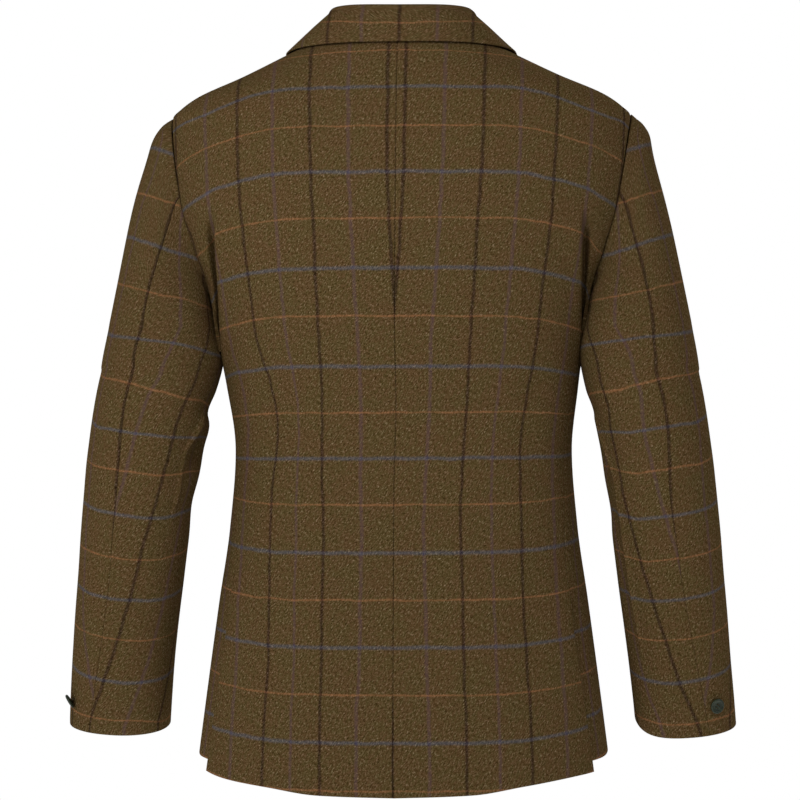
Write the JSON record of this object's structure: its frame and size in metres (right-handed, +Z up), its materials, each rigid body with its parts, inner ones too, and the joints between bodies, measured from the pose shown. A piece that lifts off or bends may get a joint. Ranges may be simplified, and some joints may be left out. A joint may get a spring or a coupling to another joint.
{
  "type": "riding jacket",
  "caption": "Tweed riding jacket in its worn form, hollow, with open neck, cuffs and hem, notched lapels, buttoned front and side vents.",
  "frame": {"origin": "base of the neck between the shoulders, where the wearer holds the jacket up", "axes": "+Z up, +X to the wearer's left, +Y behind the wearer"},
  "size_m": [0.6724, 0.26, 0.7628],
  "materials": {
    "tweed": "matte wool tweed with a fine mottle and a windowpane check",
    "button": "dark green, satin"
  },
  "bodies": {
    "root": {"back_left": "tweed", "back_right": "tweed", "side_left": "tweed", "side_right": "tweed", "front_left": "tweed", "front_right": "tweed", "sleeve_top_left": "tweed", "sleeve_top_right": "tweed", "sleeve_under_left": "tweed", "sleeve_under_right": "tweed", "collar": "tweed", "lapel_left": "tweed", "lapel_right": "tweed", "front_button_1": "button", "front_button_2": "button", "front_button_3": "button", "cuff_button_left": "button", "cuff_button_right": "button"}
  },
  "joints": []
}
